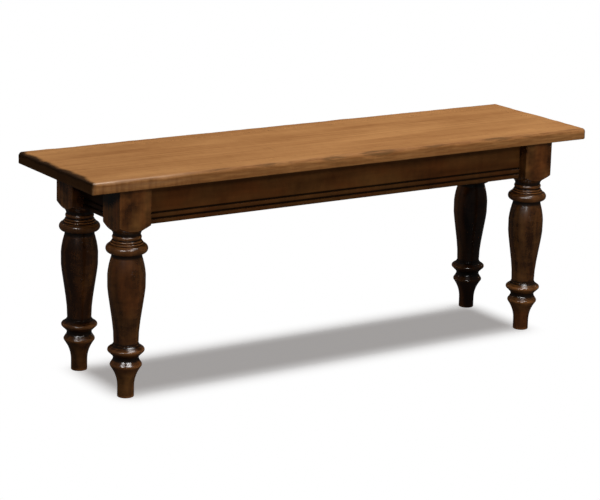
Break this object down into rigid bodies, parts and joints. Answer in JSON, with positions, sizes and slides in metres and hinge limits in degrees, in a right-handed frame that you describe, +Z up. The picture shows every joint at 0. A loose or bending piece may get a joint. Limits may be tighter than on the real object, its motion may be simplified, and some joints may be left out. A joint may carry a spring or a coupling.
{
  "type": "turned-leg bench",
  "caption": "Long bench: an edge-glued plank seat on turned legs with square blocks, joined by tenoned aprons with beaded lower edges and stiffened by corner blocks.",
  "frame": {"origin": "on the floor under the middle of the seat", "axes": "+X along the seat, +Y from the front to the back, +Z up"},
  "size_m": [1.219, 0.324, 0.457],
  "materials": {
    "seat_wood": "light brown stained maple with rubbed edges, satin",
    "dark_stain": "dark walnut stain, semi-gloss lacquer",
    "bare_wood": "planed, unfinished",
    "zinc_steel": "zinc plated"
  },
  "bodies": {
    "root": {"seat_board_front": "seat_wood", "seat_board_middle": "seat_wood", "seat_board_rear": "seat_wood", "leg_front_left": "dark_stain", "leg_front_right": "dark_stain", "leg_rear_left": "dark_stain", "leg_rear_right": "dark_stain", "apron_front": "dark_stain", "apron_rear": "dark_stain", "apron_left": "dark_stain", "apron_right": "dark_stain", "corner_block_front_left": "bare_wood", "corner_block_front_right": "bare_wood", "corner_block_rear_left": "bare_wood", "corner_block_rear_right": "bare_wood", "cross_rail": "bare_wood", "button_front_1": "bare_wood", "button_front_2": "bare_wood", "button_front_3": "bare_wood", "button_front_4": "bare_wood", "button_rear_1": "bare_wood", "button_rear_2": "bare_wood", "button_rear_3": "bare_wood", "button_rear_4": "bare_wood", "button_left": "bare_wood", "button_right": "bare_wood", "corner_block_screws": "zinc_steel", "leg_screws": "zinc_steel", "button_screws": "zinc_steel", "rail_screws": "zinc_steel"}
  },
  "joints": []
}
